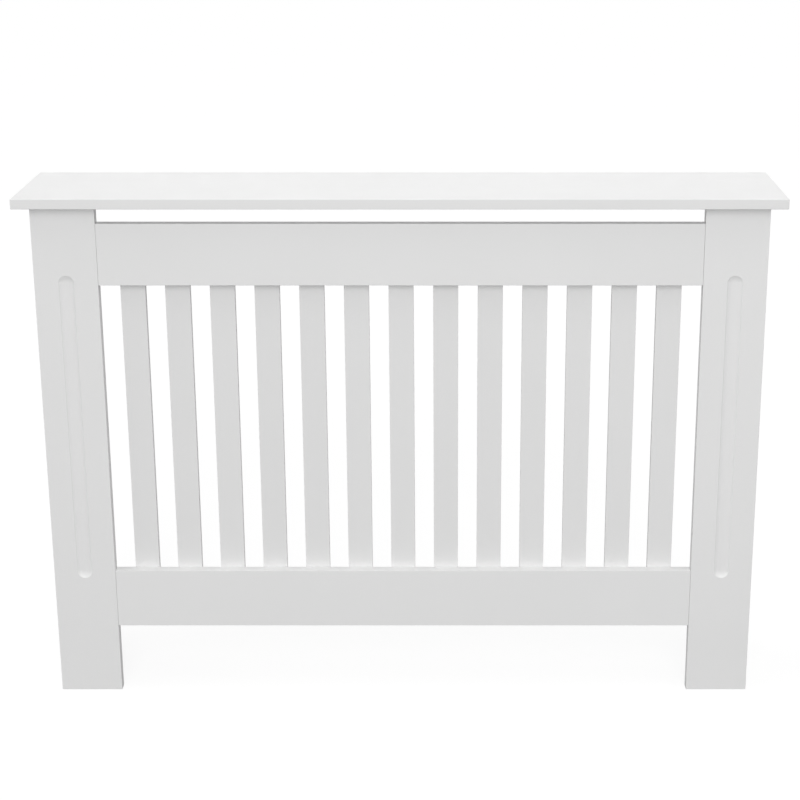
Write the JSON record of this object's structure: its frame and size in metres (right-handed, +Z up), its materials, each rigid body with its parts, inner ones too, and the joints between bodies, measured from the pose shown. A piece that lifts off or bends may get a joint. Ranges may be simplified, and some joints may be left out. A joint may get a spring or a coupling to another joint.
{
  "type": "radiator cover cabinet",
  "caption": "White radiator cover: a shelf on fluted posts and side panels, with a slatted front between rails, open at the back and below for air.",
  "frame": {"origin": "on the floor, at the middle of the shelf's footprint", "axes": "+X to the right seen from the front, +Y towards the wall behind, +Z up"},
  "size_m": [1.12, 0.19, 0.795],
  "materials": {
    "painted_board": "satin white paint on fibreboard",
    "zinc_steel": "zinc plated",
    "beech_dowel": "raw beech"
  },
  "bodies": {
    "root": {"top_board": "painted_board", "left_post": "painted_board", "right_post": "painted_board", "top_rail": "painted_board", "bottom_rail": "painted_board", "slat_01": "painted_board", "slat_02": "painted_board", "slat_03": "painted_board", "slat_04": "painted_board", "slat_05": "painted_board", "slat_06": "painted_board", "slat_07": "painted_board", "slat_08": "painted_board", "slat_09": "painted_board", "slat_10": "painted_board", "slat_11": "painted_board", "slat_12": "painted_board", "slat_13": "painted_board", "left_side_panel": "painted_board", "right_side_panel": "painted_board", "left_post_cam_bolt_lower": "zinc_steel", "left_post_cam_bolt_upper": "zinc_steel", "left_shelf_cam_bolt_front": "zinc_steel", "left_shelf_cam_bolt_rear": "zinc_steel", "right_post_cam_bolt_lower": "zinc_steel", "right_post_cam_bolt_upper": "zinc_steel", "right_shelf_cam_bolt_front": "zinc_steel", "right_shelf_cam_bolt_rear": "zinc_steel", "left_post_cam_nut_lower": "zinc_steel", "left_post_cam_nut_upper": "zinc_steel", "left_shelf_cam_nut_front": "zinc_steel", "left_shelf_cam_nut_rear": "zinc_steel", "right_post_cam_nut_lower": "zinc_steel", "right_post_cam_nut_upper": "zinc_steel", "right_shelf_cam_nut_front": "zinc_steel", "right_shelf_cam_nut_rear": "zinc_steel", "left_post_dowel_lower": "beech_dowel", "left_post_dowel_upper": "beech_dowel", "left_shelf_dowel": "beech_dowel", "right_post_dowel_lower": "beech_dowel", "right_post_dowel_upper": "beech_dowel", "right_shelf_dowel": "beech_dowel", "top_rail_left_dowel_lower": "beech_dowel", "top_rail_left_dowel_upper": "beech_dowel", "top_rail_right_dowel_lower": "beech_dowel", "top_rail_right_dowel_upper": "beech_dowel", "bottom_rail_left_dowel_lower": "beech_dowel", "bottom_rail_left_dowel_upper": "beech_dowel", "bottom_rail_right_dowel_lower": "beech_dowel", "bottom_rail_right_dowel_upper": "beech_dowel", "left_wall_bracket": "zinc_steel", "right_wall_bracket": "zinc_steel"}
  },
  "joints": []
}
